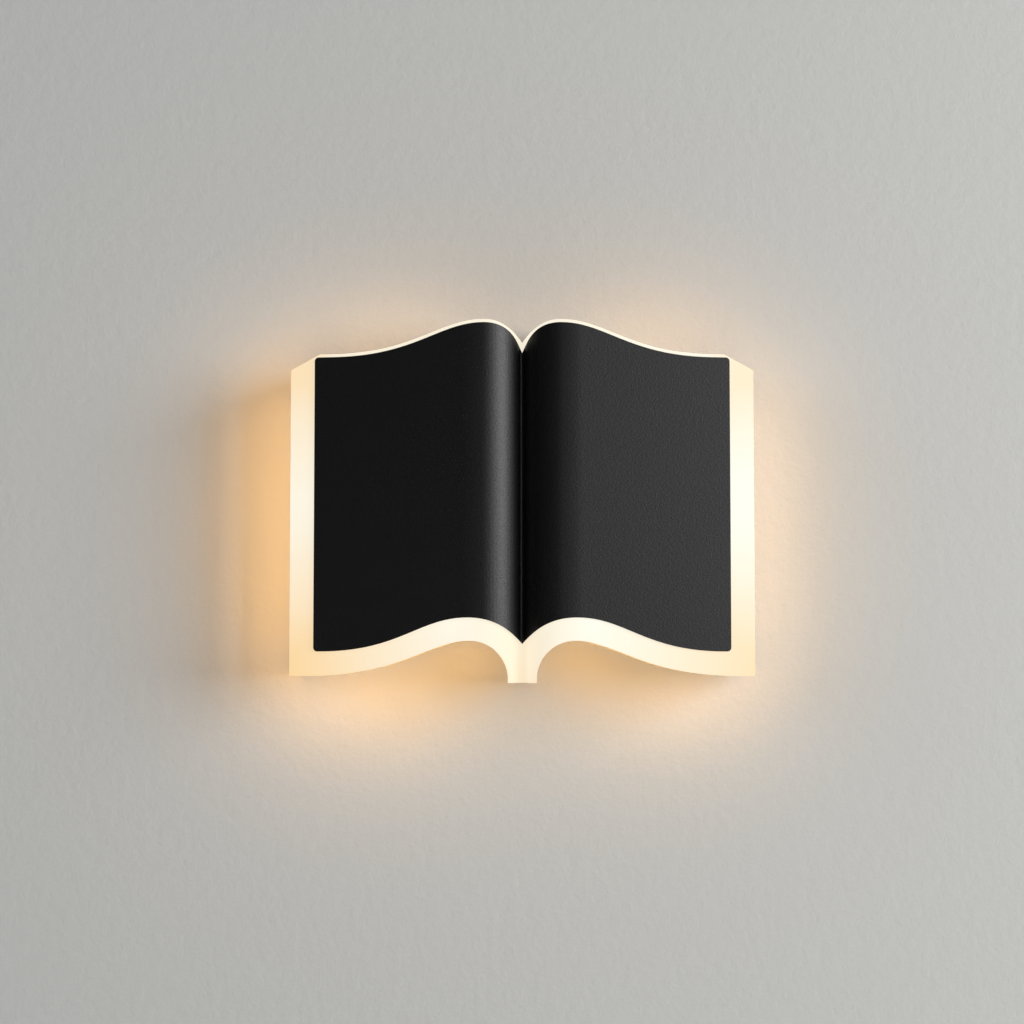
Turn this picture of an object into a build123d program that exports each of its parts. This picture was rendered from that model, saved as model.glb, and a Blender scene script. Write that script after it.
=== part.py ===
from build123d import *
import math
import os

# Book wall lamp: a bent black sheet shaped like the pages of an open book, on a lit opal moulding.
# Millimetres. The wall is the plane Y = 0, the lamp faces -Y, and Z is up. The origin is the middle
# of the wall bracket's back face. The lamp is the same left and right of X = 0 apart from its wiring.

# Opal moulding, seen from the front
cover_half_width = 120.0
cover_bottom = -90.1
cover_wall = 3.0
cover_rear = 8.0
arch_top = -71.9
arch_centre = 27.0
arch_spine_reach = 21.5
arch_outer_reach = 51.2
arch_end_inset = 7.2
spine_half_width = 7.4
spine_bottom = -93.5
shoulder_angle = 28.0
shoulder_low = 68.2
shoulder_radius = 1.5

# Page sheet, seen from the front
page_side_border = 12.6
page_corner = 2.0
page_top = 74.5
page_crest_top = 91.2
page_crest_at = 19.6
page_top_straight = 9.6
top_crest_reach = 23.9
top_outer_reach = 43.4
gutter_top = 77.2
gutter_flank_at = 5.0
gutter_flank_top = 85.6
page_bottom = -77.4
page_crest_bottom = -60.1
page_hollow_at = 28.0
page_bottom_straight = 3.4
bottom_crest_reach = 25.0
bottom_outer_reach = 41.5
gutter_bottom = -73.6
gutter_low_at = 9.0
gutter_low = -65.4
top_lip = 1.8
lip_gutter_rise = 5.4
lip_flank_rise = 2.3

# Slopes of the outlines where they meet the gutter
gutter_top_slope = 2.2
gutter_bottom_slope = 1.15
lip_gutter_slope = 1.6

# Shares of an edge's length at which its neighbour is drawn parallel to it
wave_shares = (0, 0.15, 0.3, 0.45, 0.6, 0.75, 0.9, 1)
gutter_shares = (0.35, 0.6, 1)
pick_reach = 0.1

# Open-book line in plan: gutter fold, crest, and the flat slope out to the edge
crest_depth = 57.0
crest_at = 20.5
crest_inner_radius = 20.2
crest_outer_radius = 70.0
fold_radius = 1.5
page_slope = 8.5
sheet_thickness = 1.2
seat_gap = 0.3

# Studs that hold the sheet on the moulding
stud_side_inset = 45.4
stud_at_z = 40.0
stud_diameter = 4.0
stud_hole = 4.6
stud_boss = 12.0
stud_boss_depth = 14.0
stud_depth = 20.5
washer_diameter = 9.0
washer_thickness = 0.8
nut_flats = 7.0
nut_height = 3.2

# Base plate with its light boards
plate_front = 12.0
plate_thickness = 1.5
plate_gap = 0.4
boss_diameter = 8.0
boss_pilot_depth = 12.0
boss_corner_inset = 10.0
boss_corner_z = -80.0
boss_shoulder_inset = 12.0
boss_shoulder_z = 62.0
boss_crest_x = 22.0
boss_crest_z = 79.0
screw_diameter = 3.0
screw_clearance = 0.3
screw_head = 5.6
screw_head_height = 2.0
screw_length = 9.0
plate_screw_length = 4.0
thread_gap = 0.1

board_width = 10.0
board_thickness = 1.6
side_board_shift = 5.5
side_board_low = -58.0
side_board_high = 52.0
row_board_inner = 8.0
row_board_gap = 22.0
top_board_z = 60.0
bottom_board_z = -60.0
board_screw_diameter = 2.5
board_screw_length = 4.0
board_screw_head = 4.4
board_screw_head_height = 1.4
board_screw_in = 3.5
chip_length = 3.5
chip_width = 2.8
chip_height = 0.8
chip_pitch = 10.0
chip_end = 9.0

# Back pan, closed by the wall
pan_half_width = 75.0
pan_half_height = 46.0
pan_front_room = 23.0
pan_wall = 1.2
pan_corner = 8.0
pan_inner_bend = 1.5
gasket_thickness = 1.0
gasket_reach = 3.5
lug_width = 14.0
lug_reach = 11.0
lug_inset = 25.0

# Wall bracket
bracket_height = 26.0
bracket_thickness = 1.5
bracket_gap = 0.4
bracket_ear = 9.0
ear_width = 14.0
bracket_bend = 2.0
slot_spacing = 70.0
slot_length = 12.0
slot_width = 4.6
cable_hole = 22.0
ear_screw_depth = 4.6
ear_screw_diameter = 3.5
ear_screw_length = 9.0
ear_screw_head = 6.0
ear_screw_head_height = 2.2

# Driver and terminals
driver_end_gap = 5.0
driver_wire_room = 15.0
driver_width = 32.0
driver_height = 19.0
driver_z = 21.0
driver_ear = 8.0
driver_ear_thickness = 2.5
driver_lid_height = 3.0
driver_corner = 2.0
driver_screw_length = 5.0
terminal_inset = 29.0
terminal_z = -27.0
terminal_pole = 9.0
terminal_poles = 3
terminal_width = 17.0
terminal_height = 13.0
terminal_bore = 3.0
terminal_groove = 1.0
terminal_peg = 3.0
terminal_well = 1.5
terminal_screw = 3.6
terminal_screw_height = 2.0
earth_inset = 8.0
earth_z = -27.0
earth_ring_diameter = 8.0
earth_ring_thickness = 0.8
earth_barrel = 3.4
earth_barrel_length = 5.0
earth_loop = -6.0

# Leads and grommet
lead_diameter = 1.8
lead_spacing = 2.6
lead_height = 3.0
mains_low = 9.0
mains_spacing = 3.0
output_low = 31.3
landing_offset = 3.2
landing_in = 6.0
link_width = 3.0
link_thickness = 0.6
link_lift = 4.0
link_bend = 1.5
lead_bend_share = 0.45
grommet_wire_room = 16.0
grommet_inset = 8.0
grommet_bore = 6.0
grommet_body = 9.0
grommet_flange = 12.0
grommet_lip = 1.4

# Places that follow the moulding's and the pan's sizes
arch_end = cover_half_width - arch_end_inset
page_half_width = cover_half_width - page_side_border
page_top_bend = page_half_width - page_top_straight
page_bottom_bend = page_half_width - page_bottom_straight
stud_at_x = page_half_width - stud_side_inset
stud_boss_end = crest_depth - stud_boss_depth
stud_end = crest_depth - stud_depth
boss_corner_x = cover_half_width - boss_corner_inset
boss_shoulder_x = cover_half_width - boss_shoulder_inset
side_board_x = (pan_half_width + cover_half_width) / 2 - side_board_shift
row_board_outer = side_board_x - row_board_gap
pan_depth = crest_depth - pan_front_room
lug_at_x = pan_half_width - lug_inset
earth_x = pan_half_width - earth_inset
terminal_x = pan_half_width - terminal_inset
first_pole = terminal_x - terminal_pole
driver_start = driver_end_gap + driver_ear - pan_half_width
driver_end = first_pole - driver_wire_room
driver_length = driver_end - driver_start
driver_x = (driver_start + driver_end) / 2
grommet_x = driver_end + grommet_wire_room
grommet_depth = pan_depth - grommet_inset

slope = math.radians(page_slope)
crest_centre_y = crest_inner_radius - crest_depth
fold_centre_y = crest_centre_y - math.sqrt((crest_inner_radius + fold_radius) ** 2 - crest_at**2)
flank_angle = math.degrees(math.atan2(crest_centre_y - fold_centre_y, crest_at))
cover_depth = sheet_thickness + seat_gap
plate_back = plate_front - plate_thickness
pan_floor = pan_depth - pan_wall


def book_half_line(depth):
    """The right half of the open-book line, the given depth behind the page's front face."""
    outer_centre_y = crest_outer_radius - crest_depth
    outer_radius = crest_outer_radius - depth
    bend_x = crest_at + outer_radius * math.sin(slope)
    bend_y = outer_centre_y - outer_radius * math.cos(slope)
    edge_x = cover_half_width + cover_wall
    edge_y = bend_y + (edge_x - bend_x) * math.tan(slope)
    CenterArc((0, fold_centre_y), fold_radius + depth, 90, flank_angle - 90)
    CenterArc((crest_at, crest_centre_y), crest_inner_radius - depth, 180 + flank_angle, 90 - flank_angle)
    CenterArc((crest_at, outer_centre_y), outer_radius, 270, page_slope)
    Line((bend_x, bend_y), (edge_x, edge_y))
    Line((edge_x, edge_y), (edge_x, 0))
    Line((edge_x, 0), (0, 0))


def behind_pages(depth):
    """Everything from the wall to the open-book line at the given depth."""
    low = spine_bottom - cover_wall
    high = page_crest_top + top_lip + cover_wall
    with BuildPart() as region:
        with BuildSketch(Plane.XY.offset(low)):
            with BuildLine():
                book_half_line(depth)
                mirror(about=Plane.YZ)
            make_face()
        extrude(amount=high - low)
    return region.part


# Outline of the page sheet
with BuildSketch() as page_outline:
    with BuildLine():
        Spline(
            (0, gutter_top),
            (gutter_flank_at, gutter_flank_top),
            (page_crest_at, page_crest_top),
            tangents=[(1, gutter_top_slope), (1, 0)],
        )
        Bezier(
            (page_crest_at, page_crest_top),
            (page_crest_at + top_crest_reach, page_crest_top),
            (page_top_bend - top_outer_reach, page_top),
            (page_top_bend, page_top),
        )
        FilletPolyline(
            (page_top_bend, page_top),
            (page_half_width, page_top),
            (page_half_width, page_bottom),
            (page_bottom_bend, page_bottom),
            radius=page_corner,
        )
        Bezier(
            (page_bottom_bend, page_bottom),
            (page_bottom_bend - bottom_outer_reach, page_bottom),
            (page_hollow_at + bottom_crest_reach, page_crest_bottom),
            (page_hollow_at, page_crest_bottom),
        )
        Spline(
            (page_hollow_at, page_crest_bottom),
            (gutter_low_at, gutter_low),
            (0, gutter_bottom),
            tangents=[(-1, 0), (-1, -gutter_bottom_slope)],
        )
        mirror(about=Plane.YZ)
    make_face()

# Outline of the opal moulding: a narrow lip above the pages and a broad border at the sides and below
shoulder = math.radians(shoulder_angle)


def beside(curve, distance, shares):
    """Points at the given shares of a curve's length, moved to its right by the given distance."""
    points = []
    for share in shares:
        along = curve % share
        points.append(curve @ share + Vector(along.Y, -along.X) * distance)
    return points


def cover_half_line(inset):
    """The right half of the moulding's outline, moved inward by the given distance."""
    lip_top = page_top + top_lip
    crest_top = page_crest_top + top_lip
    gutter = Spline(
        (0, gutter_top + lip_gutter_rise),
        (gutter_flank_at, gutter_flank_top + lip_flank_rise),
        (page_crest_at, crest_top),
        tangents=[(1, lip_gutter_slope), (1, 0)],
        mode=Mode.PRIVATE,
    )
    page_wave = Bezier(
        (page_crest_at, page_crest_top),
        (page_crest_at + top_crest_reach, page_crest_top),
        (page_top_bend - top_outer_reach, page_top),
        (page_top_bend, page_top),
        mode=Mode.PRIVATE,
    )
    arch_wave = Bezier(
        (arch_end, cover_bottom),
        (arch_end - arch_outer_reach, cover_bottom),
        (arch_centre + arch_spine_reach, arch_top),
        (arch_centre, arch_top),
        mode=Mode.PRIVATE,
    )
    Spline(
        (0, gutter_top + lip_gutter_rise - inset),
        *beside(gutter, inset, gutter_shares),
        tangents=[(1, lip_gutter_slope / (1 + inset)), (1, 0)],
    )
    Spline(*beside(page_wave, inset - top_lip, wave_shares), tangents=[(1, 0), (1, 0)])
    arch_base = arch_top - arch_radius
    side_x = cover_half_width - inset
    Polyline(
        (page_top_bend, lip_top - inset),
        (
            cover_half_width + (math.cos(shoulder) * (shoulder_low - lip_top + inset) - inset) / math.sin(shoulder),
            lip_top - inset,
        ),
        (side_x, shoulder_low - inset * (1 - math.sin(shoulder)) / math.cos(shoulder)),
        (side_x, cover_bottom + inset),
        (arch_end, cover_bottom + inset),
    )
    Spline(*beside(arch_wave, inset, wave_shares), tangents=[(-1, 0), (-1, 0)])
    spine_low = spine_bottom + inset
    spine_rise = max(spine_low - arch_base, 0)
    spine_turn = 90 - math.degrees(math.asin(spine_rise / (arch_radius + inset)))
    arch = CenterArc((arch_centre, arch_base), arch_radius + inset, 90, spine_turn)
    if spine_rise == 0:
        Polyline(arch @ 1, ((arch @ 1).X, spine_low), (0, spine_low))
    else:
        Line(arch @ 1, (0, spine_low))


def cover_face(inset):
    """The moulding's whole outline as a face, moved inward by the given distance."""
    with BuildSketch() as face:
        with BuildLine():
            cover_half_line(inset)
            mirror(about=Plane.YZ)
        make_face()
    return face.sketch


arch_radius = arch_centre - spine_half_width
with BuildSketch() as cover_outline:
    add(cover_face(0))
    shoulders = cover_outline.vertices().filter_by_position(
        Axis.Y, shoulder_low - pick_reach, shoulder_low + pick_reach
    )
    fillet(shoulders, radius=shoulder_radius)

cavity_outline = cover_face(cover_wall)
plate_outline = cover_face(cover_wall + plate_gap)

page_front = behind_pages(0)
page_back = behind_pages(sheet_thickness)
cover_front = behind_pages(cover_depth)
cavity_front = behind_pages(cover_depth + cover_wall)

stud_spots = [(x, z) for x in (-stud_at_x, stud_at_x) for z in (-stud_at_z, stud_at_z)]
boss_spots = [
    (side * x, z)
    for side in (-1, 1)
    for x, z in (
        (boss_corner_x, boss_corner_z),
        (boss_shoulder_x, boss_shoulder_z),
        (boss_crest_x, boss_crest_z),
    )
]
lug_spots = [(side * lug_at_x, pan_half_height) for side in (-1, 1)]
lug_spots += [(side * lug_at_x, -pan_half_height) for side in (-1, 1)]
lug_screw_spots = [(x, z + math.copysign(lug_reach / 2, z)) for x, z in lug_spots]
driver_screw_spots = [
    (driver_x + side * (driver_length + driver_ear) / 2, driver_z) for side in (-1, 1)
]
terminal_pegs = [(terminal_x + side * terminal_pole / 2, terminal_z) for side in (-1, 1)]
terminal_screw_spots = [
    (terminal_x + pole * terminal_pole, terminal_z + side * terminal_width / 4)
    for pole in (-1, 0, 1)
    for side in (-1, 1)
]
earth_spot = (earth_x, earth_z)

# Each light board: middle x and z, length, and whether it stands upright
side_length = side_board_high - side_board_low
side_middle = (side_board_high + side_board_low) / 2
row_length = row_board_outer - row_board_inner
row_middle = (row_board_outer + row_board_inner) / 2
board_places = {
    "led_board_left": (-side_board_x, side_middle, side_length, True),
    "led_board_right": (side_board_x, side_middle, side_length, True),
    "led_board_top_left": (-row_middle, top_board_z, row_length, False),
    "led_board_top_right": (row_middle, top_board_z, row_length, False),
    "led_board_bottom_left": (-row_middle, bottom_board_z, row_length, False),
    "led_board_bottom_right": (row_middle, bottom_board_z, row_length, False),
}


def along_board(x, z, offsets, upright):
    """Points on a board's middle line, at the given distances from its middle."""
    if upright:
        return [(x, z + step) for step in offsets]
    return [(x + step, z) for step in offsets]


def board_ends(x, z, length, upright):
    """Where a board's two screws stand."""
    reach = length / 2 - board_screw_in
    return along_board(x, z, (-reach, reach), upright)


def chip_spots(x, z, length, upright):
    """Where a board's emitters stand, evenly spaced between its screws."""
    count = int((length - 2 * chip_end) / chip_pitch) + 1
    offsets = [(index - (count - 1) / 2) * chip_pitch for index in range(count)]
    return along_board(x, z, offsets, upright)


board_screw_spots = [spot for place in board_places.values() for spot in board_ends(*place)]


def front_plane(depth):
    """The plane parallel to the wall at the given depth, facing the room, with +Z up."""
    return Plane.XZ.offset(depth)


# Page sheet: one blank bent along vertical lines only, its wavy ends cut before bending
with BuildPart() as page_sheet:
    with BuildSketch(front_plane(0)):
        add(page_outline.sketch)
    extrude(amount=crest_depth + cover_wall)
    add(page_front, mode=Mode.INTERSECT)
    add(page_back, mode=Mode.SUBTRACT)
page_sheet.part.label = "page_sheet"

# Welded studs on the back of the sheet, square to the wall
with BuildPart() as page_studs:
    with BuildSketch(front_plane(stud_end)):
        with Locations(*stud_spots):
            Circle(stud_diameter / 2)
    extrude(amount=crest_depth - stud_end)
    add(page_back, mode=Mode.INTERSECT)
page_studs.part.label = "page_studs"

# Opal moulding: an open-backed shell with bosses for the sheet's studs and the base plate's screws
with BuildPart() as cavity:
    with BuildSketch(front_plane(cover_rear)):
        add(cavity_outline)
    extrude(amount=crest_depth)
    add(cavity_front, mode=Mode.INTERSECT)

with BuildPart() as diffuser:
    with BuildSketch(front_plane(cover_rear)):
        add(cover_outline.sketch)
    extrude(amount=crest_depth)
    add(cover_front, mode=Mode.INTERSECT)
    add(cavity.part, mode=Mode.SUBTRACT)

with BuildPart() as bosses:
    with BuildSketch(front_plane(stud_boss_end)):
        with Locations(*stud_spots):
            Circle(stud_boss / 2)
    extrude(amount=crest_depth - stud_boss_end)
    with BuildSketch(front_plane(plate_front)):
        with Locations(*boss_spots):
            Circle(boss_diameter / 2)
    extrude(amount=crest_depth - plate_front)
    add(cover_front, mode=Mode.INTERSECT)
    with BuildSketch(front_plane(stud_boss_end)):
        with Locations(*stud_spots):
            Circle(stud_hole / 2)
    extrude(amount=crest_depth - stud_boss_end, mode=Mode.SUBTRACT)
    with BuildSketch(front_plane(plate_front)):
        with Locations(*boss_spots):
            Circle(screw_diameter / 2 + thread_gap)
    extrude(amount=boss_pilot_depth, mode=Mode.SUBTRACT)

with BuildPart() as moulding:
    add(diffuser.part)
    add(bosses.part)
    with BuildSketch(front_plane(stud_boss_end)):
        with Locations(*stud_spots):
            Circle(stud_hole / 2)
    extrude(amount=crest_depth - stud_boss_end, mode=Mode.SUBTRACT)
moulding.part.label = "diffuser"

with BuildPart() as stud_washers:
    with BuildSketch(front_plane(stud_boss_end)):
        with Locations(*stud_spots):
            Circle(washer_diameter / 2)
            Circle(stud_hole / 2, mode=Mode.SUBTRACT)
    extrude(amount=-washer_thickness)
stud_washers.part.label = "stud_washers"

with BuildPart() as stud_nuts:
    with BuildSketch(front_plane(stud_boss_end - washer_thickness)):
        with Locations(*stud_spots):
            RegularPolygon(nut_flats / 2, 6, major_radius=False)
            Circle(stud_diameter / 2 + thread_gap, mode=Mode.SUBTRACT)
    extrude(amount=-nut_height)
stud_nuts.part.label = "stud_nuts"

# Base plate: the white plate that closes the back of the moulding and carries the light boards
with BuildPart() as base_plate:
    with BuildSketch(front_plane(plate_back)):
        add(plate_outline)
        RectangleRounded(
            2 * (pan_half_width + plate_gap),
            2 * (pan_half_height + plate_gap),
            pan_corner + plate_gap,
            mode=Mode.SUBTRACT,
        )
        with Locations(*boss_spots, *lug_screw_spots):
            Circle(screw_diameter / 2 + screw_clearance, mode=Mode.SUBTRACT)
        with Locations(*board_screw_spots):
            Circle(board_screw_diameter / 2 + screw_clearance, mode=Mode.SUBTRACT)
    extrude(amount=plate_thickness)
base_plate.part.label = "base_plate"


def screws(spots, seat, toward_room, diameter, length, head, head_height):
    """Round-headed screws square to the wall: heads on the seat, shanks toward the room or the wall."""
    way = 1 if toward_room else -1
    with BuildPart() as group:
        with BuildSketch(front_plane(seat)):
            with Locations(*spots):
                Circle(head / 2)
        extrude(amount=-way * head_height)
        crowns = group.faces().sort_by(Axis.Y)
        crowns = crowns[-len(spots):] if toward_room else crowns[: len(spots)]
        chamfer(crowns.edges(), length=head_height / 3)
        with BuildSketch(front_plane(seat)):
            with Locations(*spots):
                Circle(diameter / 2)
        extrude(amount=way * length)
    return group.part


diffuser_screws = screws(
    boss_spots, plate_back, True, screw_diameter, screw_length, screw_head, screw_head_height
)
diffuser_screws.label = "diffuser_screws"

plate_screws = screws(
    lug_screw_spots, plate_front, False, screw_diameter, plate_screw_length, screw_head, screw_head_height
)
plate_screws.label = "plate_screws"

# Light boards, each with two screws and a row of emitters
light_boards = {}
for name, (x, z, length, upright) in board_places.items():
    with BuildPart() as board:
        with BuildSketch(front_plane(plate_front)):
            with Locations((x, z)):
                if upright:
                    Rectangle(board_width, length)
                else:
                    Rectangle(length, board_width)
            with Locations(*board_ends(x, z, length, upright)):
                Circle(board_screw_diameter / 2 + screw_clearance, mode=Mode.SUBTRACT)
        extrude(amount=board_thickness)
    board.part.label = name
    light_boards[name] = board.part

with BuildPart() as led_chips:
    for x, z, length, upright in board_places.values():
        with BuildSketch(front_plane(plate_front + board_thickness)):
            with Locations(*chip_spots(x, z, length, upright)):
                if upright:
                    Rectangle(chip_width, chip_length)
                else:
                    Rectangle(chip_length, chip_width)
        extrude(amount=chip_height)
led_chips.part.label = "led_chips"

board_screws = screws(
    board_screw_spots,
    plate_front + board_thickness,
    False,
    board_screw_diameter,
    board_screw_length,
    board_screw_head,
    board_screw_head_height,
)
board_screws.label = "board_screws"

# Back pan: a drawn tray, open to the wall, with four lugs behind the base plate
with BuildPart() as back_pan:
    with BuildSketch(front_plane(gasket_thickness)):
        RectangleRounded(2 * pan_half_width, 2 * pan_half_height, pan_corner)
    extrude(amount=pan_depth - gasket_thickness)
    fillet(back_pan.faces().sort_by(Axis.Y)[0].edges(), radius=pan_inner_bend + pan_wall)
    with BuildSketch(front_plane(plate_back)):
        with Locations(*lug_screw_spots):
            Rectangle(lug_width, lug_reach + 2 * pan_wall)
    extrude(amount=-pan_wall)
    with BuildSketch(front_plane(gasket_thickness)):
        RectangleRounded(
            2 * (pan_half_width - pan_wall), 2 * (pan_half_height - pan_wall), pan_corner - pan_wall
        )
    extrude(amount=pan_floor - gasket_thickness, mode=Mode.SUBTRACT)
    with BuildSketch(front_plane(gasket_thickness)):
        with Locations(*lug_screw_spots):
            Circle(screw_diameter / 2 + thread_gap)
    extrude(amount=plate_back, mode=Mode.SUBTRACT)
    with BuildSketch(front_plane(pan_floor)):
        with Locations(*driver_screw_spots, earth_spot):
            Circle(screw_diameter / 2 + thread_gap)
        with Locations(*terminal_pegs):
            Circle(terminal_peg / 2 + screw_clearance)
    extrude(amount=pan_wall, mode=Mode.SUBTRACT)
    with BuildSketch(Plane.YZ.offset(-pan_half_width)):
        with Locations((-ear_screw_depth, 0)):
            Circle(ear_screw_diameter / 2 + screw_clearance)
    extrude(amount=2 * pan_half_width, mode=Mode.SUBTRACT)
    with BuildSketch(Plane.XY.offset(pan_half_height - pan_wall)):
        with Locations((grommet_x, -grommet_depth)):
            Circle(grommet_body / 2)
    extrude(amount=pan_wall, mode=Mode.SUBTRACT)
back_pan.part.label = "back_pan"

with BuildPart() as wall_gasket:
    with BuildSketch(front_plane(0)):
        RectangleRounded(
            2 * (pan_half_width + gasket_reach), 2 * (pan_half_height + gasket_reach), pan_corner + gasket_reach
        )
        RectangleRounded(
            2 * (pan_half_width - pan_wall),
            2 * (pan_half_height - pan_wall),
            pan_corner - pan_wall,
            mode=Mode.SUBTRACT,
        )
    extrude(amount=gasket_thickness)
wall_gasket.part.label = "wall_gasket"

# Wall bracket: a strap with slots for the wall screws and an ear at each end inside the pan
bracket_half = pan_half_width - pan_wall - bracket_gap
with BuildPart() as wall_bracket:
    with BuildSketch(Plane.XY.offset(-bracket_height / 2)):
        with Locations((0, -bracket_ear / 2)):
            Rectangle(2 * bracket_half, bracket_ear)
        with Locations((0, -(bracket_ear + bracket_thickness) / 2)):
            Rectangle(
                2 * (bracket_half - bracket_thickness),
                bracket_ear - bracket_thickness,
                mode=Mode.SUBTRACT,
            )
    extrude(amount=bracket_height)
    bends = wall_bracket.edges().filter_by(Axis.Z).group_by(Axis.Y)[-1]
    fillet(bends, radius=bracket_bend)
    with BuildSketch(front_plane(0)):
        with GridLocations(slot_spacing, 0, 2, 1):
            SlotOverall(slot_length, slot_width)
        Circle(cable_hole / 2)
    extrude(amount=bracket_ear, mode=Mode.SUBTRACT)
    with BuildSketch(Plane.YZ.offset(-bracket_half)):
        with Locations((-ear_screw_depth, 0)):
            Circle(ear_screw_diameter / 2 + thread_gap)
    extrude(amount=2 * bracket_half, mode=Mode.SUBTRACT)
    with BuildSketch(Plane.YZ.offset(-bracket_half)):
        for side in (-1, 1):
            with Locations((-bracket_ear, side * bracket_height / 2)):
                Rectangle(2 * (bracket_ear - bracket_thickness - bracket_bend), bracket_height - ear_width)
    extrude(amount=2 * bracket_half, mode=Mode.SUBTRACT)
wall_bracket.part.label = "wall_bracket"

# Side screws that lock the pan on the bracket's ears
with BuildPart() as bracket_screws:
    for side in (-1, 1):
        with BuildSketch(Plane.YZ.offset(side * pan_half_width)):
            with Locations((-ear_screw_depth, 0)):
                Circle(ear_screw_head / 2)
        extrude(amount=side * ear_screw_head_height)
        with BuildSketch(Plane.YZ.offset(side * pan_half_width)):
            with Locations((-ear_screw_depth, 0)):
                Circle(ear_screw_diameter / 2)
        extrude(amount=-side * ear_screw_length)
bracket_screws.part.label = "bracket_screws"

# Driver: a potted case with an ear at each end, and its lid toward the wall
with BuildPart() as driver_case:
    with BuildSketch(front_plane(pan_floor)):
        with Locations((driver_x, driver_z)):
            RectangleRounded(driver_length, driver_width, driver_corner)
    extrude(amount=-(driver_height - driver_lid_height))
    with BuildSketch(front_plane(pan_floor)):
        with Locations((driver_x, driver_z)):
            SlotOverall(driver_length + 2 * driver_ear, driver_ear + 2)
        with Locations(*driver_screw_spots):
            Circle(screw_diameter / 2 + screw_clearance, mode=Mode.SUBTRACT)
    extrude(amount=-driver_ear_thickness)
driver_case.part.label = "driver_case"

with BuildPart() as driver_lid:
    with BuildSketch(front_plane(pan_floor - driver_height + driver_lid_height)):
        with Locations((driver_x, driver_z)):
            RectangleRounded(driver_length, driver_width, driver_corner)
    extrude(amount=-driver_lid_height)
    chamfer(driver_lid.faces().sort_by(Axis.Y)[-1].edges(), length=driver_lid_height / 3)
driver_lid.part.label = "driver_lid"

driver_screws = screws(
    driver_screw_spots,
    pan_floor - driver_ear_thickness,
    True,
    screw_diameter,
    driver_screw_length,
    screw_head,
    screw_head_height,
)
driver_screws.label = "driver_screws"

# Terminal block for the supply, standing on two pegs through the pan's floor
lead_plane = pan_floor - lead_height
with BuildPart() as terminal_block:
    with BuildSketch(front_plane(pan_floor)):
        with Locations((terminal_x, terminal_z)):
            Rectangle(terminal_poles * terminal_pole, terminal_width)
    extrude(amount=-terminal_height / 2)
    with BuildSketch(front_plane(pan_floor)):
        with Locations((terminal_x, terminal_z)):
            with GridLocations(terminal_pole, 0, terminal_poles, 1):
                Rectangle(terminal_pole - terminal_groove, terminal_width - terminal_groove)
    extrude(amount=-terminal_height)
    with BuildSketch(front_plane(pan_floor)):
        with Locations(*terminal_pegs):
            Circle(terminal_peg / 2)
    extrude(amount=pan_wall)
    with BuildSketch(front_plane(pan_floor - terminal_height)):
        with Locations(*terminal_screw_spots):
            Circle(terminal_screw / 2 + thread_gap)
    extrude(amount=terminal_screw_height + terminal_well, mode=Mode.SUBTRACT)
    with BuildSketch(Plane.XY.offset(terminal_z - terminal_width / 2)):
        with Locations((terminal_x, -lead_plane)):
            with GridLocations(terminal_pole, 0, terminal_poles, 1):
                Circle(terminal_bore / 2)
    extrude(amount=terminal_width, mode=Mode.SUBTRACT)
terminal_block.part.label = "terminal_block"

with BuildPart() as terminal_screws:
    with BuildSketch(front_plane(pan_floor - terminal_height + terminal_well)):
        with Locations(*terminal_screw_spots):
            Circle(terminal_screw / 2)
    extrude(amount=terminal_screw_height)
terminal_screws.part.label = "terminal_screws"

# Earth: a ring terminal under a screw in the pan's floor
with BuildPart() as earth_ring:
    with BuildSketch(front_plane(pan_floor)):
        with Locations(earth_spot):
            Circle(earth_ring_diameter / 2)
            Circle(screw_diameter / 2 + screw_clearance, mode=Mode.SUBTRACT)
    extrude(amount=-earth_ring_thickness)
    with BuildSketch(Plane.XY.offset(earth_z + screw_head / 2 + screw_clearance)):
        with Locations((earth_x, -lead_plane)):
            Circle(earth_barrel / 2)
    extrude(amount=earth_barrel_length)
    with BuildSketch(front_plane(pan_floor)):
        with Locations((earth_x, earth_z + screw_head / 2 + screw_clearance + earth_ring_thickness)):
            Rectangle(earth_barrel, 2 * earth_ring_thickness)
    extrude(amount=-lead_height)
earth_ring.part.label = "earth_ring"

earth_screw = screws(
    [earth_spot],
    pan_floor - earth_ring_thickness,
    True,
    screw_diameter,
    driver_screw_length - driver_ear_thickness + earth_ring_thickness,
    screw_head,
    screw_head_height,
)
earth_screw.label = "earth_screw"


def lead(points):
    """A round lead along straight runs joined by wide tangent arcs."""
    corners = [Vector(*p) for p in points]
    radii = []
    for before, corner, after in zip(corners, corners[1:], corners[2:]):
        run = min((corner - before).length, (after - corner).length)
        turn = math.radians((corner - before).get_angle(after - corner))
        radii.append(lead_bend_share * run / math.tan(turn / 2))
    with BuildPart() as tube:
        with BuildLine() as route:
            FilletPolyline(*corners, radius=radii)
        with BuildSketch(Plane(origin=corners[0], z_dir=corners[1] - corners[0])):
            Circle(lead_diameter / 2)
        sweep(path=route.wires()[0])
    return tube.part


terminal_side = terminal_z + terminal_width / 2

mains_lead_runs = [
    [
        (first_pole, -lead_plane, terminal_side),
        (first_pole, -lead_plane, mains_low),
        (driver_end, -lead_plane, mains_low),
    ],
    [
        (first_pole + terminal_pole, -lead_plane, terminal_side),
        (first_pole + terminal_pole, -lead_plane, mains_low + mains_spacing),
        (driver_end, -lead_plane, mains_low + mains_spacing),
    ],
]
mains_leads = Compound(children=[lead(run) for run in mains_lead_runs])
mains_leads.label = "mains_leads"

earth_lead = lead(
    [
        (earth_x, -lead_plane, earth_z + screw_head / 2 + screw_clearance + earth_barrel_length),
        (earth_x, -lead_plane, earth_loop),
        (first_pole + 2 * terminal_pole, -lead_plane, earth_loop),
        (first_pole + 2 * terminal_pole, -lead_plane, terminal_side),
    ]
)
earth_lead.label = "earth_lead"

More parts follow.
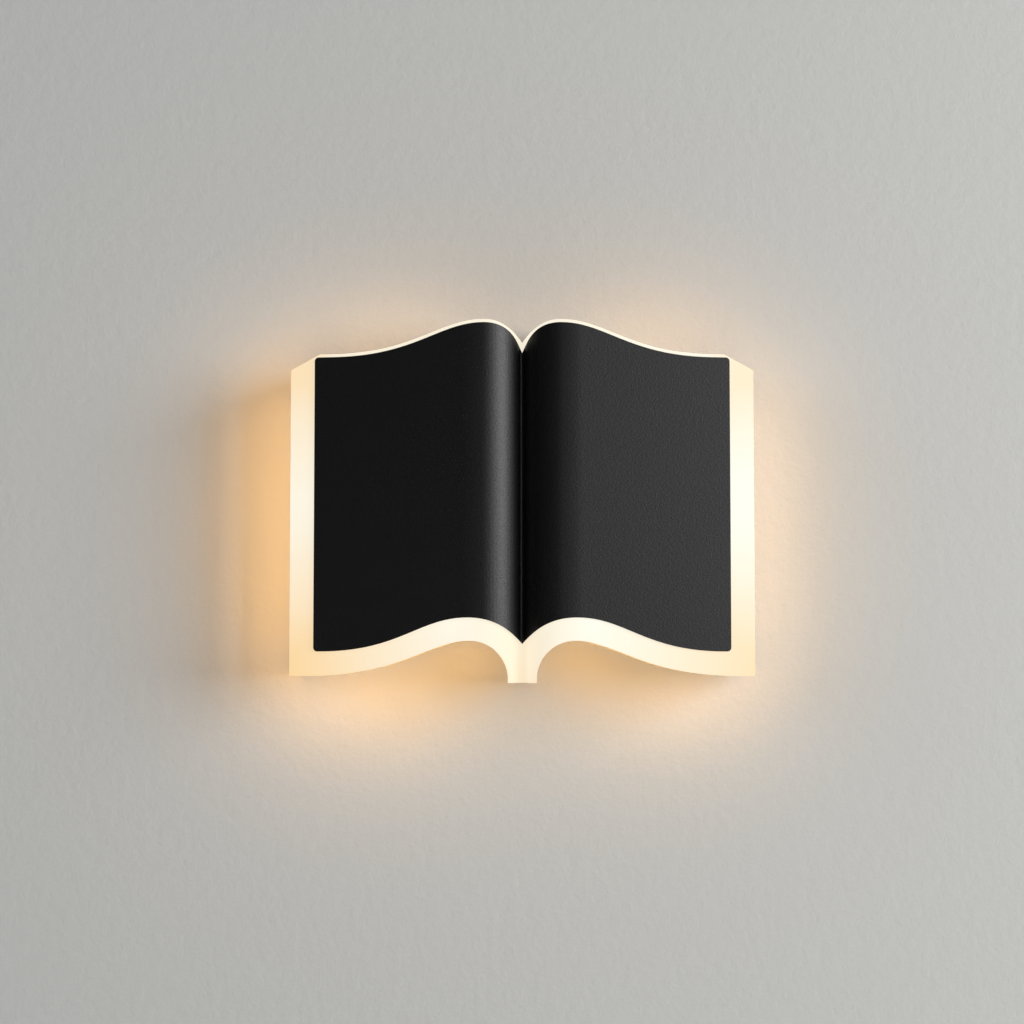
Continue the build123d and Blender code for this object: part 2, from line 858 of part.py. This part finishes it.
board_face = plate_front + board_thickness
landing_z = top_board_z - landing_offset
output_runs = [
    [
        (driver_end, -grommet_depth, output_low + side * lead_spacing / 2),
        (grommet_x - side * lead_spacing / 2, -grommet_depth, output_low + side * lead_spacing / 2),
        (grommet_x - side * lead_spacing / 2, -grommet_depth, landing_z),
        (grommet_x - side * lead_spacing / 2, -board_face, landing_z),
    ]
    for side in (-1, 1)
]
output_leads = Compound(children=[lead(run) for run in output_runs])
output_leads.label = "output_leads"

with BuildPart() as lead_grommet:
    with BuildSketch(Plane.XY.offset(pan_half_height - pan_wall - grommet_lip)):
        with Locations((grommet_x, -grommet_depth)):
            Circle(grommet_flange / 2)
    extrude(amount=grommet_lip)
    with BuildSketch(Plane.XY.offset(pan_half_height)):
        with Locations((grommet_x, -grommet_depth)):
            Circle(grommet_flange / 2)
    extrude(amount=grommet_lip)
    with BuildSketch(Plane.XY.offset(pan_half_height - pan_wall)):
        with Locations((grommet_x, -grommet_depth)):
            Circle(grommet_body / 2)
    extrude(amount=pan_wall)
    with BuildSketch(Plane.XY.offset(pan_half_height - pan_wall - grommet_lip)):
        with Locations((grommet_x, -grommet_depth)):
            Circle(grommet_bore / 2)
    extrude(amount=pan_wall + 2 * grommet_lip, mode=Mode.SUBTRACT)
lead_grommet.part.label = "lead_grommet"


def jumper(start, end):
    """A flat flexible link that rises from one light board and lands on the next."""
    first = Vector(start[0], -board_face, start[1])
    last = Vector(end[0], -board_face, end[1])
    span = (last - first).length
    with BuildPart() as ribbon:
        with BuildSketch(Plane(origin=first, x_dir=last - first, z_dir=(last - first).cross(Vector(0, -1, 0)))):
            with BuildLine():
                FilletPolyline(
                    (-link_thickness / 2, 0),
                    (-link_thickness / 2, link_lift),
                    (span + link_thickness / 2, link_lift),
                    (span + link_thickness / 2, 0),
                    radius=link_bend,
                )
                FilletPolyline(
                    (link_thickness / 2, 0),
                    (link_thickness / 2, link_lift - link_thickness),
                    (span - link_thickness / 2, link_lift - link_thickness),
                    (span - link_thickness / 2, 0),
                    radius=link_bend - link_thickness,
                )
                Line((-link_thickness / 2, 0), (link_thickness / 2, 0))
                Line((span - link_thickness / 2, 0), (span + link_thickness / 2, 0))
            make_face()
        extrude(amount=link_width / 2, both=True)
    return ribbon.part


row_inner = row_board_inner + landing_in
row_outer = row_board_outer - landing_in
side_x = side_board_x - landing_offset
jumper_ends = [((-row_inner, top_board_z + landing_offset), (row_inner, top_board_z + landing_offset))]
for side in (-1, 1):
    jumper_ends.append(((side * row_outer, landing_z), (side * side_x, side_board_high - landing_in)))
    jumper_ends.append(
        ((side * side_x, side_board_low + landing_in), (side * row_outer, bottom_board_z + landing_offset))
    )
link_leads = Compound(children=[jumper(start, end) for start, end in jumper_ends])
link_leads.label = "link_leads"

# Every piece, written under its own name
pieces = [
    page_sheet.part,
    page_studs.part,
    moulding.part,
    stud_washers.part,
    stud_nuts.part,
    base_plate.part,
    diffuser_screws,
    plate_screws,
    *light_boards.values(),
    led_chips.part,
    board_screws,
    link_leads,
    back_pan.part,
    wall_gasket.part,
    wall_bracket.part,
    bracket_screws.part,
    driver_case.part,
    driver_lid.part,
    driver_screws,
    terminal_block.part,
    terminal_screws.part,
    earth_ring.part,
    earth_screw,
    mains_leads,
    earth_lead,
    output_leads,
    lead_grommet.part,
]
os.makedirs("parts", exist_ok=True)
for piece in pieces:
    export_step(piece, f"parts/{piece.label}.step")
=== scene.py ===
import math

import bmesh
import bpy
from mathutils import Euler, Matrix, Vector


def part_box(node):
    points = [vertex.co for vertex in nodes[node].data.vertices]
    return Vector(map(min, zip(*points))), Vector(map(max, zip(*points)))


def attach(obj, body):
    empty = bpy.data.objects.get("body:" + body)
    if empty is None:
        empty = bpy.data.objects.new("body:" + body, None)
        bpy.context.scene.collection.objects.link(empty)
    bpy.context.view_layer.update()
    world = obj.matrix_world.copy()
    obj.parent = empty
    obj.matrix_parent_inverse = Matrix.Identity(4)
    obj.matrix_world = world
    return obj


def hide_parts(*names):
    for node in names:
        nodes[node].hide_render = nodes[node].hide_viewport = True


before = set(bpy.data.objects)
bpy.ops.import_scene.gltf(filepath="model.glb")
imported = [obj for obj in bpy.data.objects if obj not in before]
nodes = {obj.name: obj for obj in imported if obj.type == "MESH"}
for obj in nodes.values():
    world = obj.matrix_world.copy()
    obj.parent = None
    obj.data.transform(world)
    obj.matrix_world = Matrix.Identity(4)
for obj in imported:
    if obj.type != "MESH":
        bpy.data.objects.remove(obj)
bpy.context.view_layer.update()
page_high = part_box("page_sheet")[1]
cover_low, cover_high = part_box("diffuser")

MM = 0.001

# The colour mixer's sockets share their names, so they are told apart by number
MIX_SHARE, MIX_FIRST, MIX_SECOND, MIX_RESULT = 0, 6, 7, 2


def linear(code):
    """A colour given as sRGB hex, turned to the linear values that the shaders use."""
    parts = [int(code[i : i + 2], 16) / 255 for i in (1, 3, 5)]
    return [p / 12.92 if p <= 0.04045 else ((p + 0.055) / 1.055) ** 2.4 for p in parts] + [1.0]


def node(tree, kind, settings=None, inputs=None):
    """Adds a node with its settings. An input is a plain value, or another node's output to link."""
    made = tree.nodes.new(kind)
    for name, value in (settings or {}).items():
        setattr(made, name, value)
    for name, value in (inputs or {}).items():
        if isinstance(value, bpy.types.NodeSocket):
            tree.links.new(value, made.inputs[name])
        else:
            made.inputs[name].default_value = value
    return made


def material(name):
    """An empty material: its tree, its shader and its Object coordinates."""
    made = bpy.data.materials.new(name)
    made.use_nodes = True
    tree = made.node_tree
    tree.nodes.clear()
    shader = node(tree, "ShaderNodeBsdfPrincipled")
    node(tree, "ShaderNodeOutputMaterial", None, {"Surface": shader.outputs["BSDF"]})
    place = node(tree, "ShaderNodeTexCoord").outputs["Object"]
    return made, tree, shader, place


def dress(finish, *names):
    """Gives the named CAD nodes one finish."""
    for name in names:
        nodes[name].data.materials.clear()
        nodes[name].data.materials.append(finish)


# Black coat. Its real pebbles are a few tenths of a millimetre wide. A pixel of the picture is 0.5 mm,
# so they are drawn coarser than they are, 1 mm wide.
pebble_width = 1.0 * MM
pebble_height = 0.12 * MM
coat_cloud_width = 18 * MM
coat_roughness = (0.40, 0.54)


def black_powder_coat():
    """Polyester powder coat baked on a bent steel sheet: deep black, matt, with a fine pebbled skin
    that breaks a light up into a broad grey sheen along the bend."""
    made, tree, shader, place = material("black_powder_coat")
    pebble = node(
        tree,
        "ShaderNodeTexNoise",
        None,
        {"Vector": place, "Scale": 1 / pebble_width, "Detail": 3.0, "Roughness": 0.6},
    ).outputs["Fac"]
    cloud = node(
        tree, "ShaderNodeTexNoise", None, {"Vector": place, "Scale": 1 / coat_cloud_width}
    ).outputs["Fac"]
    colour = node(
        tree,
        "ShaderNodeMix",
        {"data_type": "RGBA"},
        {MIX_SHARE: cloud, MIX_FIRST: linear("#080808"), MIX_SECOND: linear("#0C0C0D")},
    ).outputs[MIX_RESULT]
    rough = node(
        tree,
        "ShaderNodeMapRange",
        None,
        {"Value": pebble, "To Min": coat_roughness[0], "To Max": coat_roughness[1]},
    ).outputs["Result"]
    bump = node(
        tree, "ShaderNodeBump", None, {"Strength": 0.8, "Distance": pebble_height, "Height": pebble}
    ).outputs["Normal"]
    tree.links.new(colour, shader.inputs["Base Color"])
    tree.links.new(rough, shader.inputs["Roughness"])
    shader.inputs["Specular IOR Level"].default_value = 0.45
    tree.links.new(bump, shader.inputs["Normal"])
    return made


# Lit opal. It is whitest over the humps of the pages' lower edge and at mid-height of the sides.
# Its warmth runs from 0, near white, to 1, honey.
hump_spot = (37 * MM, 0, -64 * MM)
hump_fade = 105 * MM
side_fade = 92 * MM
side_fade_power = 1.5
fade_overlap = 0.12
# The cap on warmth falls from full at the lower height to none at the upper one
low_cap_heights = (-70 * MM, 40 * MM)
# The cap rises across the left and right borders from the first value to the second
border_reach = (96 * MM, 112 * MM)
border_cap = (0.16, 0.55)
# The left border is a little warmer than the right one
lean_reach = 115 * MM
lean_warmth = (0.16, -0.06)
# Soft clouds in the moulding, 30 mm wide
opal_cloud_width = 30 * MM
opal_cloud_warmth = 0.06
# The normal's Y where the face turns into a side
side_turn = (-0.3, -0.1)
# The share of the moulding's depth at which its sides start to darken
side_shade_start = 0.85


def opal_acrylic():
    """Injection-moulded opal acrylic lit from behind: milky and even, near white over the rows of
    emitters, and cream to honey in the corners and on the sides, where less light reaches."""
    made, tree, shader, place = material("opal_acrylic")
    shader.inputs["Base Color"].default_value = linear("#6F685A")
    shader.inputs["Roughness"].default_value = 0.6
    shader.inputs["IOR"].default_value = 1.49
    shader.inputs["Specular IOR Level"].default_value = 0.2
    shader.inputs["Emission Strength"].default_value = 1.0

    axes = node(tree, "ShaderNodeSeparateXYZ", None, {"Vector": place})
    x, y, z = (axes.outputs[axis] for axis in "XYZ")
    across = node(tree, "ShaderNodeMath", {"operation": "ABSOLUTE"}, {0: x}).outputs[0]
    height = node(tree, "ShaderNodeMath", {"operation": "ABSOLUTE"}, {0: z}).outputs[0]
    folded = node(tree, "ShaderNodeCombineXYZ", None, {"X": across, "Z": z}).outputs["Vector"]

    # Away from the humps and from mid-height it gets warmer
    hump = node(
        tree, "ShaderNodeVectorMath", {"operation": "DISTANCE"}, {0: folded, 1: hump_spot}
    ).outputs["Value"]
    from_hump = node(
        tree, "ShaderNodeMath", {"operation": "DIVIDE"}, {0: hump, 1: hump_fade}
    ).outputs[0]
    level = node(
        tree, "ShaderNodeMath", {"operation": "DIVIDE"}, {0: height, 1: side_fade}
    ).outputs[0]
    from_middle = node(
        tree, "ShaderNodeMath", {"operation": "POWER"}, {0: level, 1: side_fade_power}
    ).outputs[0]
    away = node(
        tree,
        "ShaderNodeMath",
        {"operation": "SMOOTH_MIN"},
        {0: from_hump, 1: from_middle, 2: fade_overlap},
    ).outputs[0]

    # The cap keeps the middle of the upper lip near white, and lets the borders get warmer
    low_cap = node(
        tree,
        "ShaderNodeMapRange",
        None,
        {
            "Value": z,
            "From Min": low_cap_heights[0],
            "From Max": low_cap_heights[1],
            "To Min": 1.0,
            "To Max": 0.0,
        },
    ).outputs["Result"]
    corner_cap = node(
        tree,
        "ShaderNodeMapRange",
        None,
        {
            "Value": across,
            "From Min": border_reach[0],
            "From Max": border_reach[1],
            "To Min": border_cap[0],
            "To Max": border_cap[1],
        },
    ).outputs["Result"]
    cap = node(
        tree, "ShaderNodeMath", {"operation": "MAXIMUM"}, {0: low_cap, 1: corner_cap}
    ).outputs[0]
    capped = node(tree, "ShaderNodeMath", {"operation": "MINIMUM"}, {0: away, 1: cap}).outputs[0]

    # One side is warmer than the other, with faint clouds
    lean = node(
        tree,
        "ShaderNodeMapRange",
        None,
        {
            "Value": x,
            "From Min": -lean_reach,
            "From Max": lean_reach,
            "To Min": lean_warmth[0],
            "To Max": lean_warmth[1],
        },
    ).outputs["Result"]
    haze = node(
        tree, "ShaderNodeTexNoise", None, {"Vector": place, "Scale": 1 / opal_cloud_width}
    ).outputs["Fac"]
    cloud = node(
        tree,
        "ShaderNodeMapRange",
        None,
        {"Value": haze, "To Min": -opal_cloud_warmth, "To Max": opal_cloud_warmth},
    ).outputs["Result"]
    uneven = node(tree, "ShaderNodeMath", {"operation": "ADD"}, {0: lean, 1: cloud}).outputs[0]
    warm = node(
        tree,
        "ShaderNodeMath",
        {"operation": "ADD", "use_clamp": True},
        {0: capped, 1: uneven},
    ).outputs[0]
    face_colour = node(
        tree,
        "ShaderNodeMix",
        {"data_type": "RGBA"},
        {MIX_SHARE: warm, MIX_FIRST: linear("#F1F0E4"), MIX_SECOND: linear("#EFC98E")},
    ).outputs[MIX_RESULT]

    # The sides are honey, and darker towards the wall
    normal = node(tree, "ShaderNodeTexCoord").outputs["Normal"]
    facing = node(tree, "ShaderNodeSeparateXYZ", None, {"Vector": normal}).outputs["Y"]
    side = node(
        tree,
        "ShaderNodeMapRange",
        {"interpolation_type": "SMOOTHSTEP"},
        {"Value": facing, "From Min": side_turn[0], "From Max": side_turn[1]},
    ).outputs["Result"]
    rearward = node(
        tree,
        "ShaderNodeMapRange",
        None,
        {"Value": y, "From Min": cover_low.y * side_shade_start, "From Max": cover_high.y},
    ).outputs["Result"]
    side_colour = node(
        tree,
        "ShaderNodeMix",
        {"data_type": "RGBA"},
        {MIX_SHARE: rearward, MIX_FIRST: linear("#EBCB94"), MIX_SECOND: linear("#CF9A57")},
    ).outputs[MIX_RESULT]
    lit = node(
        tree,
        "ShaderNodeMix",
        {"data_type": "RGBA"},
        {MIX_SHARE: side, MIX_FIRST: face_colour, MIX_SECOND: side_colour},
    ).outputs[MIX_RESULT]
    tree.links.new(lit, shader.inputs["Emission Color"])
    return made


skin_height = 0.03 * MM
skin_roughness_spread = 0.06
patch_roughness_spread = 0.08


def plain_coat(name, code, rough, lump):
    """A coat or moulding of one colour with a fine skin. Real skins have lumps of a few hundredths to
    a few tenths of a millimetre. They are drawn coarser, at 0.3 to 0.8 mm, about one pixel wide."""
    made, tree, shader, place = material(name)
    skin = node(tree, "ShaderNodeTexNoise", None, {"Vector": place, "Scale": 1 / lump}).outputs["Fac"]
    roughness = node(
        tree,
        "ShaderNodeMapRange",
        None,
        {
            "Value": skin,
            "To Min": rough - skin_roughness_spread,
            "To Max": rough + skin_roughness_spread,
        },
    ).outputs["Result"]
    bump = node(
        tree, "ShaderNodeBump", None, {"Strength": 0.2, "Distance": skin_height, "Height": skin}
    ).outputs["Normal"]
    shader.inputs["Base Color"].default_value = linear(code)
    tree.links.new(roughness, shader.inputs["Roughness"])
    tree.links.new(bump, shader.inputs["Normal"])
    return made


def metal(name, code, rough, patch_width):
    """Plated or turned metal with faint patches in its shine, each as wide as is given."""
    made, tree, shader, place = material(name)
    patch = node(
        tree,
        "ShaderNodeTexNoise",
        None,
        {"Vector": place, "Scale": 1 / patch_width, "Detail": 3.0},
    ).outputs["Fac"]
    roughness = node(
        tree,
        "ShaderNodeMapRange",
        None,
        {
            "Value": patch,
            "To Min": rough - patch_roughness_spread,
            "To Max": rough + patch_roughness_spread,
        },
    ).outputs["Result"]
    shader.inputs["Base Color"].default_value = linear(code)
    shader.inputs["Metallic"].default_value = 1.0
    tree.links.new(roughness, shader.inputs["Roughness"])
    return made


# The open-book line in plan, in metres: gutter fold, crest, and the flat slope out to the edge
crest_depth = 57 * MM
crest_at = 20.5 * MM
crest_inner = 20.2 * MM
crest_outer = 70 * MM
fold_radius = 1.5 * MM
page_slope = math.radians(8.5)
sheet_thickness = 1.2 * MM
crest_middle = crest_inner - crest_depth
outer_middle = crest_outer - crest_depth
fold_middle = crest_middle - math.sqrt((crest_inner + fold_radius) ** 2 - crest_at**2)
flank = math.atan2(crest_middle - fold_middle, crest_at)

# The sheet's upright strips, in millimetres: narrow ones in the fold, wider ones over the crest
fold_strip, fold_strips = 0.25, 17
crest_strip, crest_strips, crest_strips_start = 0.95, 30, 4.25
doubles_reach = 0.001 * MM
cut_reach = 0.01 * MM
flat_angle = math.radians(0.2)
crisp_angle = math.radians(40)


def book_line(x, depth):
    """Where the page stands in front of the wall at a place across it, at a depth behind its face."""
    x = abs(x)
    fold, inner, outer = fold_radius + depth, crest_inner - depth, crest_outer - depth
    bend = crest_at + outer * math.sin(page_slope)
    if x <= fold * math.cos(flank):
        return fold_middle + math.sqrt(fold**2 - x**2)
    if x <= crest_at:
        return crest_middle - math.sqrt(inner**2 - (x - crest_at) ** 2)
    if x <= bend:
        return outer_middle - math.sqrt(outer**2 - (x - crest_at) ** 2)
    return outer_middle - outer * math.cos(page_slope) + (x - bend) * math.tan(page_slope)


def bent_page_sheet():
    """The bent sheet with its curves in narrow upright strips, so that its sheen runs evenly."""
    mesh = bmesh.new()
    mesh.from_mesh(nodes["page_sheet"].data)
    bmesh.ops.remove_doubles(mesh, verts=mesh.verts[:], dist=doubles_reach)
    bmesh.ops.dissolve_limit(
        mesh,
        angle_limit=flat_angle,
        use_dissolve_boundaries=False,
        verts=mesh.verts[:],
        edges=mesh.edges[:],
    )
    cuts = [fold_strip * MM * i for i in range(fold_strips)]
    cuts += [(crest_strips_start + crest_strip * i) * MM for i in range(crest_strips)]
    for cut in sorted({side * c for c in cuts for side in (-1, 1)}):
        everything = mesh.verts[:] + mesh.edges[:] + mesh.faces[:]
        bmesh.ops.bisect_plane(
            mesh, geom=everything, dist=cut_reach, plane_co=(cut, 0, 0), plane_no=(1, 0, 0)
        )
    for corner in mesh.verts:
        front, back = book_line(corner.co.x, 0), book_line(corner.co.x, sheet_thickness)
        corner.co.y = front if abs(corner.co.y - front) < abs(corner.co.y - back) else back
    bmesh.ops.recalc_face_normals(mesh, faces=mesh.faces[:])
    for face in mesh.faces:
        face.smooth = True
    for edge in mesh.edges:
        edge.smooth = edge.calc_face_angle(0) < crisp_angle
    made = bpy.data.meshes.new("bent_page_sheet")
    mesh.to_mesh(made)
    mesh.free()
    piece = bpy.data.objects.new("bent_page_sheet", made)
    bpy.context.scene.collection.objects.link(piece)
    piece.modifiers.new("even_shine", "WEIGHTED_NORMAL").keep_sharp = True
    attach(piece, "root")
    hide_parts("page_sheet")
    return piece


bent_page_sheet().data.materials.append(black_powder_coat())
dress(opal_acrylic(), "diffuser")
# Satin white powder coat on pressed steel: soft shine, slight skin
dress(plain_coat("white_powder_coat", "#E9E8E3", 0.45, 0.8 * MM), "base_plate", "back_pan")
# Moulded white polycarbonate: smooth and a little glossier than the coat
dress(
    plain_coat("white_polycarbonate", "#E4E4DF", 0.4, 0.6 * MM),
    "driver_case",
    "driver_lid",
    "terminal_block",
)
# White solder mask printed on aluminium boards: clean, bright and half glossy
dress(
    plain_coat("board_solder_mask", "#F1F1EC", 0.3, 0.5 * MM),
    *[name for name in nodes if name.startswith("led_board_")],
)
# Foamed rubber strip: dark, dry and matt
dress(plain_coat("closed_cell_foam", "#2B2B2B", 0.9, 0.5 * MM), "wall_gasket")
# Moulded rubber: black with a low shine
dress(plain_coat("moulded_rubber", "#1C1C1C", 0.7, 0.4 * MM), "lead_grommet")
# Extruded silicone insulation: pale and satin
dress(
    plain_coat("silicone_insulation", "#C9C8C2", 0.5, 0.4 * MM),
    "mains_leads",
    "output_leads",
    "link_leads",
)
# The earth conductor's insulation, in one plain green
dress(plain_coat("earth_insulation", "#7FA32B", 0.5, 0.4 * MM), "earth_lead")
# Phosphor gel over each emitter: yellow when it is seen unlit
dress(plain_coat("phosphor_gel", "#E8CF5A", 0.25, 0.3 * MM), "led_chips")
# Zinc-plated steel: pale, cool and softly bright, with faint patches
dress(
    metal("zinc_plated_steel", "#C9CBCE", 0.48, 1.5 * MM),
    "page_studs",
    "stud_washers",
    "stud_nuts",
    "diffuser_screws",
    "plate_screws",
    "board_screws",
    "wall_bracket",
    "bracket_screws",
    "driver_screws",
    "earth_screw",
)
# Brass of the terminals: warm and bright
dress(metal("turned_brass", "#C8A86A", 0.3, 1.0 * MM), "terminal_screws", "earth_ring")


# Stage
wall_y = 0.4 * MM
floor_z = -1.2
reach = 3.0
# The plaster's trowelled lumps
plaster_lump_width = 7 * MM
plaster_lump_height = 0.9 * MM


def wall_plaster():
    """Plain pale plaster. Its back is clear, so the lamp's back can be seen through it."""
    made, tree, shader, place = material("pale_plaster")
    shader.inputs["Base Color"].default_value = linear("#C4C4C1")
    shader.inputs["Roughness"].default_value = 0.9
    shader.inputs["Specular IOR Level"].default_value = 0.1
    lumps = node(
        tree,
        "ShaderNodeTexNoise",
        None,
        {"Vector": place, "Scale": 1 / plaster_lump_width, "Detail": 5.0, "Roughness": 0.65},
    ).outputs["Fac"]
    bump = node(
        tree,
        "ShaderNodeBump",
        None,
        {"Strength": 0.5, "Distance": plaster_lump_height, "Height": lumps},
    ).outputs["Normal"]
    tree.links.new(bump, shader.inputs["Normal"])
    back = node(tree, "ShaderNodeNewGeometry").outputs["Backfacing"]
    clear = node(tree, "ShaderNodeBsdfTransparent").outputs["BSDF"]
    both = node(tree, "ShaderNodeMixShader", None, {0: back, 1: shader.outputs["BSDF"], 2: clear})
    output = next(n for n in tree.nodes if n.type == "OUTPUT_MATERIAL")
    tree.links.new(both.outputs[0], output.inputs["Surface"])
    return made


def floor_paint():
    """Plain pale paint, matt and even."""
    made, _, shader, _ = material("pale_floor")
    shader.inputs["Base Color"].default_value = linear("#BEBEBB")
    shader.inputs["Roughness"].default_value = 0.8
    return made


def stage_plane(name, middle, turn, half_size, finish):
    """A flat stage surface. Its face looks up before it is turned about X."""
    mesh = bmesh.new()
    place = Matrix.LocRotScale(Vector(middle), Euler((turn, 0, 0)), Vector((*half_size, 1)))
    bmesh.ops.create_grid(mesh, x_segments=1, y_segments=1, size=1, matrix=place)
    made = bpy.data.meshes.new(name)
    mesh.to_mesh(made)
    mesh.free()
    made.materials.append(finish)
    surface = bpy.data.objects.new(name, made)
    bpy.context.scene.collection.objects.link(surface)
    return surface


wall = stage_plane(
    "wall",
    (0, wall_y, (floor_z + reach) / 2),
    math.pi / 2,
    (reach, (reach - floor_z) / 2),
    wall_plaster(),
)
# The wall casts no shadow, so light from behind still reaches the lamp's back
wall.visible_shadow = False
stage_plane("floor", (0, 0, floor_z), 0, (reach, reach), floor_paint())


def area_light(name, place, aim, size, power, colour, seen=True):
    """A soft rectangular light at a place, turned to its aim. Glossy surfaces mirror it if it is seen."""
    lamp = bpy.data.lights.new(name, "AREA")
    lamp.shape = "RECTANGLE"
    lamp.size, lamp.size_y = size
    lamp.energy = power
    lamp.color = linear(colour)[:3]
    made = bpy.data.objects.new(name, lamp)
    made.location = place
    made.rotation_euler = (Vector(aim) - Vector(place)).to_track_quat("-Z", "Y").to_euler()
    bpy.context.scene.collection.objects.link(made)
    made.visible_camera = False
    made.visible_glossy = seen


studio_distance = 2.5


def in_front(degrees_right, height):
    """A place in the studio, so many degrees to the right of straight in front of the lamp."""
    azimuth = math.radians(degrees_right)
    return (studio_distance * math.sin(azimuth), -studio_distance * math.cos(azimuth), height)


white = "#FFFFFF"
lamp_middle = (0, 0, 0)
page_middle = (0, -0.03, 0)
# Key light: a soft box to the right and a little above, whose sheen runs down the left page's bend
area_light("key_light", in_front(59, 0.45), page_middle, (1.2, 1.3), 58, white)
# A narrow light nearer the front, which reaches deeper into the gutter than the key light does
area_light("fold_light", in_front(34, 0.3), page_middle, (0.3, 1.2), 10, white)
# A cool fill from the left, one down on the floor, and one on the lamp's back
area_light("left_fill", (-1.8, -1.2, 0.6), lamp_middle, (1.2, 1.2), 12, "#F4F7FF", seen=False)
area_light("floor_light", (0, -0.3, -0.5), (0, -0.3, floor_z), (4.0, 4.0), 38, white, seen=False)
area_light("back_fill", (-1.3, 1.7, 0.9), lamp_middle, (1.4, 1.4), 34, white)


def glow(name, x, z, width, height, power, colour, depth=42 * MM):
    """Warm light on the wall beside the moulding's rim, from a strip at a depth before the wall.
    It stands for light of the moulding itself, whose own glow is too weak to show there."""
    area_light(name, (x, -depth, z), (x, 0, z), (width, height), power, colour, seen=False)


rim = 6 * MM
amber = "#FFC06A"
apricot = "#FFCA8C"
side_x = cover_high.x + 1.5 * rim
side_z = -8 * MM
side_height = 0.85 * (cover_high.z - cover_low.z)
top_x, top_z, top_width = 62 * MM, cover_high.z - 3 * MM, 90 * MM
arch_x, arch_z, arch_width = 26 * MM, -81 * MM, 30 * MM
low_x, low_z, low_width = 80 * MM, -99 * MM, 76 * MM
glow("glow_left", -side_x, side_z, rim, side_height, 0.046, amber, 40 * MM)
glow("glow_right", side_x, side_z, rim, side_height, 0.026, apricot)
for side, word, low_power in ((-1, "left", 0.024), (1, "right", 0.017)):
    glow("glow_top_" + word, side * top_x, top_z, top_width, rim, 0.013, apricot)
    glow("glow_arch_" + word, side * arch_x, arch_z, arch_width, rim, 0.005, amber, 28 * MM)
    glow("glow_bottom_" + word, side * low_x, low_z, low_width, rim, low_power, amber)

# The photograph's framing: the opal outline is 464 pixels wide, with its middle at (522.2, 501.5)
frame_pixels = 1024
outline_pixels = 464.0
outline_middle = (522.2, 501.5)
camera_distance = 1.10
camera_pitch = math.radians(3.5)
camera = bpy.data.cameras.new("camera")
camera_object = bpy.data.objects.new("camera", camera)
bpy.context.scene.collection.objects.link(camera_object)
bpy.context.scene.camera = camera_object
metres_per_pixel = (cover_high.x - cover_low.x) / outline_pixels
camera_aim = Vector(
    (
        (frame_pixels / 2 - outline_middle[0]) * metres_per_pixel,
        page_high.y,
        -(frame_pixels / 2 - outline_middle[1]) * metres_per_pixel,
    )
)
backwards = Vector((0, math.cos(camera_pitch), math.sin(camera_pitch)))
camera.sensor_width = 36.0
camera.lens = camera.sensor_width * camera_distance / (metres_per_pixel * frame_pixels)
camera_object.location = camera_aim - camera_distance * backwards
camera_object.rotation_euler = (math.pi / 2 + camera_pitch, 0, 0)

# The room is pale to look at, and gives only a little light
room_light = 0.03
room_looks = 0.62
world = bpy.data.worlds.new("studio")
bpy.context.scene.world = world
world.use_nodes = True
studio = world.node_tree
background = studio.nodes["Background"]
background.inputs["Color"].default_value = linear("#E8EAEC")
seen_room = node(studio, "ShaderNodeLightPath").outputs["Is Camera Ray"]
room = node(
    studio,
    "ShaderNodeMapRange",
    None,
    {"Value": seen_room, "To Min": room_light, "To Max": room_looks},
).outputs["Result"]
studio.links.new(room, background.inputs["Strength"])
bpy.context.scene.view_settings.view_transform = "Standard"
